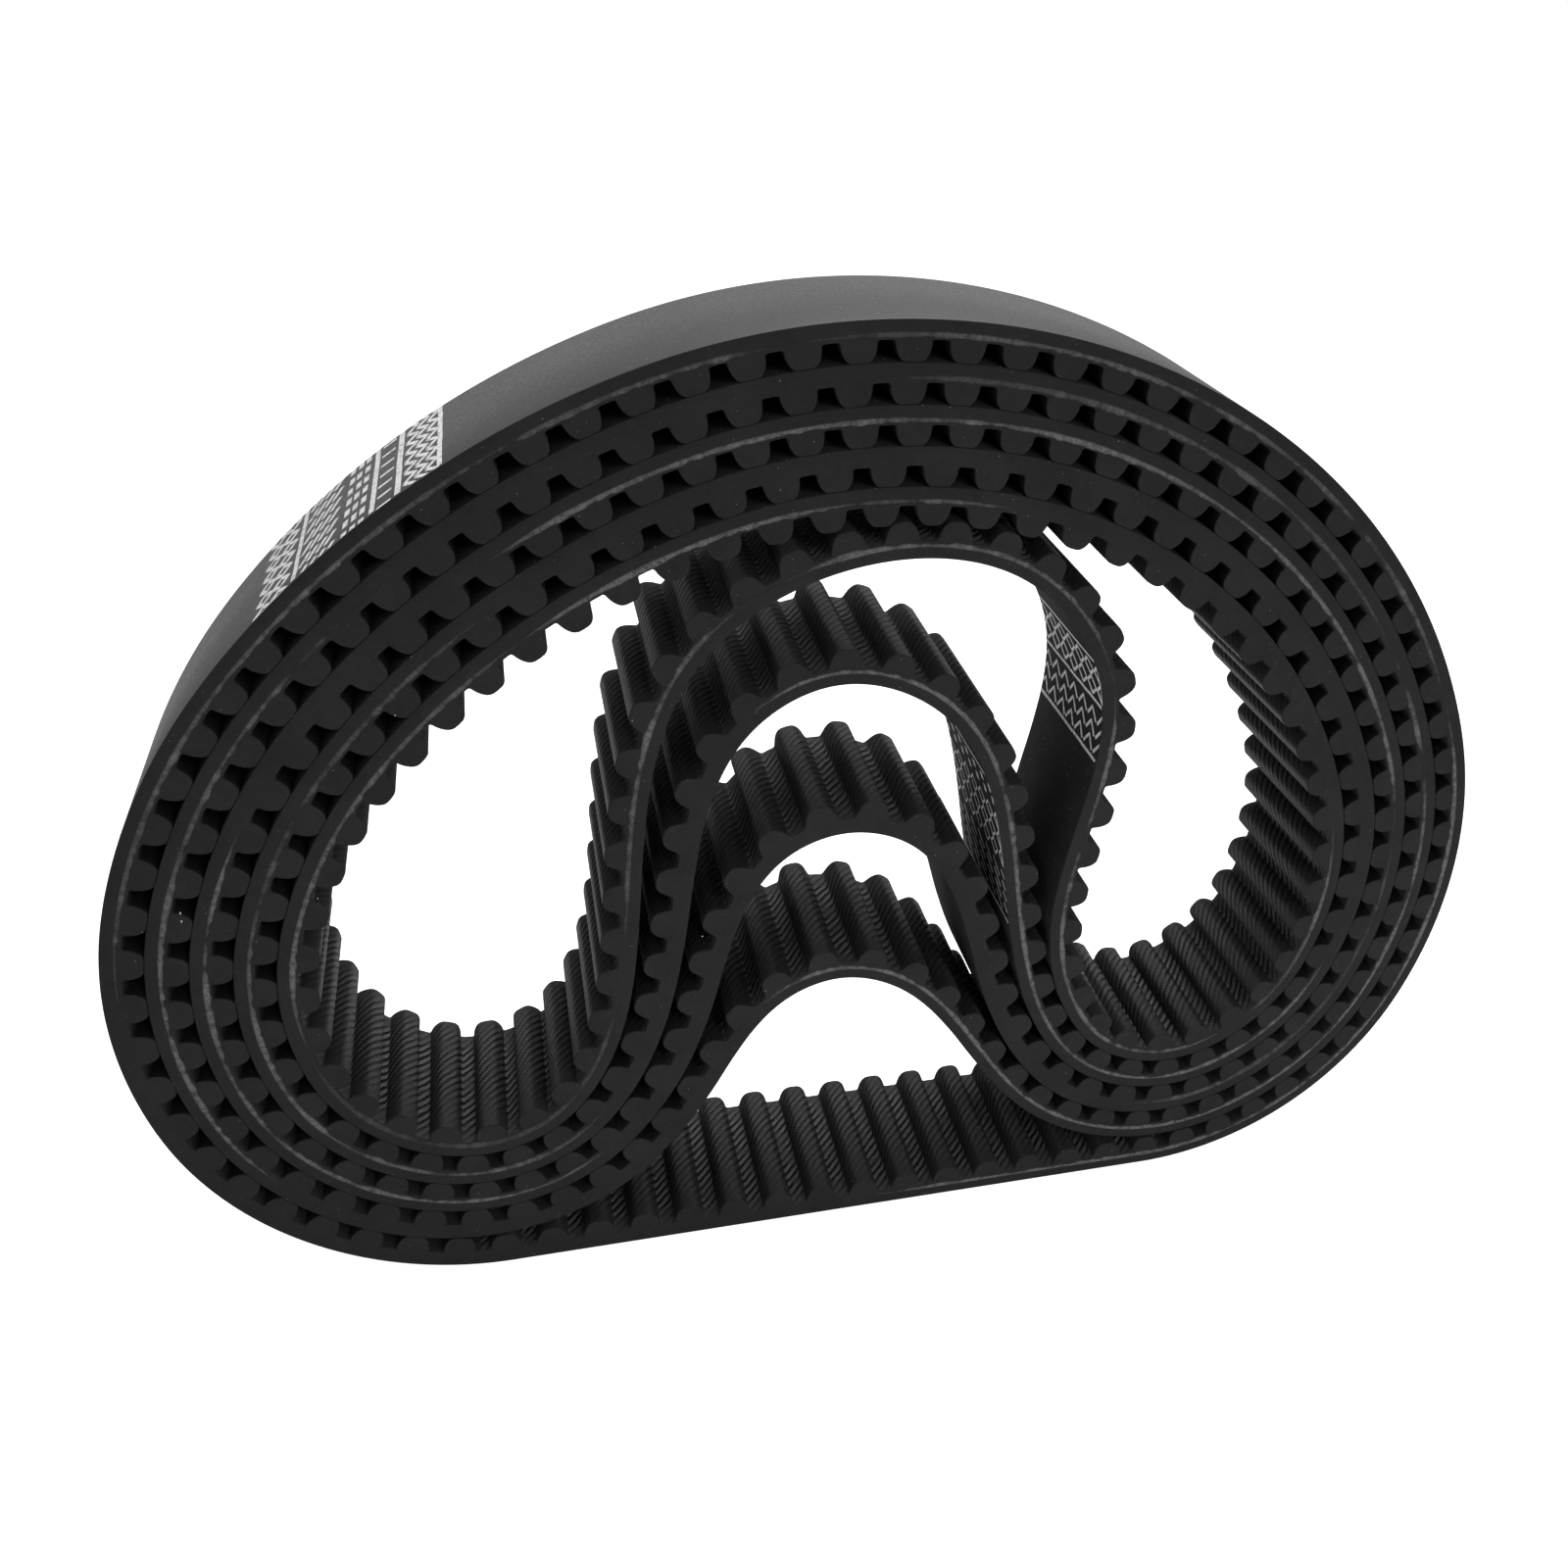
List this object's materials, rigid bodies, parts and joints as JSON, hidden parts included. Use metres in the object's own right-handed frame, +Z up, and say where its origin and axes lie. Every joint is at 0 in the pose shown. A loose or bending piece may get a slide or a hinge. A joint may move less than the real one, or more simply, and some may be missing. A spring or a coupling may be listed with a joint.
{
  "type": "timing belt",
  "caption": "Endless toothed timing belts nested one inside the other on edge, each made of a rubber back, a tensile cord layer and a row of rounded drive teeth.",
  "frame": {"origin": "on the ground under the middle of the nest: centre of the bounding box's bottom face", "axes": "+X along the loops' long way, to the right seen from the open side; +Y across the belts' width; +Z up"},
  "size_m": [0.2288, 0.03, 0.1624],
  "materials": {
    "back_rubber": "satin",
    "tensile_cord": "matte",
    "faced_rubber": "matte"
  },
  "bodies": {
    "belt_1": {"belt_1_cover": "back_rubber", "belt_1_cord": "tensile_cord", "belt_1_teeth": "faced_rubber"},
    "belt_2": {"belt_2_cover": "back_rubber", "belt_2_cord": "tensile_cord", "belt_2_teeth": "faced_rubber"},
    "belt_3": {"belt_3_cover": "back_rubber", "belt_3_cord": "tensile_cord", "belt_3_teeth": "faced_rubber"},
    "belt_4": {"belt_4_cover": "back_rubber", "belt_4_cord": "tensile_cord", "belt_4_teeth": "faced_rubber"},
    "belt_5": {"belt_5_cover": "back_rubber", "belt_5_cord": "tensile_cord", "belt_5_teeth": "faced_rubber"}
  },
  "joints": [
    {"name": "belt_2_slide", "type": "slide", "parent": "belt_1", "child": "belt_2", "axis": [0, -1, 0], "range_m": [-0.03, 0.03]},
    {"name": "belt_3_slide", "type": "slide", "parent": "belt_2", "child": "belt_3", "axis": [0, -1, 0], "range_m": [-0.03, 0.03]},
    {"name": "belt_4_slide", "type": "slide", "parent": "belt_3", "child": "belt_4", "axis": [0, -1, 0], "range_m": [-0.03, 0.03]},
    {"name": "belt_5_slide", "type": "slide", "parent": "belt_4", "child": "belt_5", "axis": [0, -1, 0], "range_m": [-0.03, 0.03]}
  ]
}
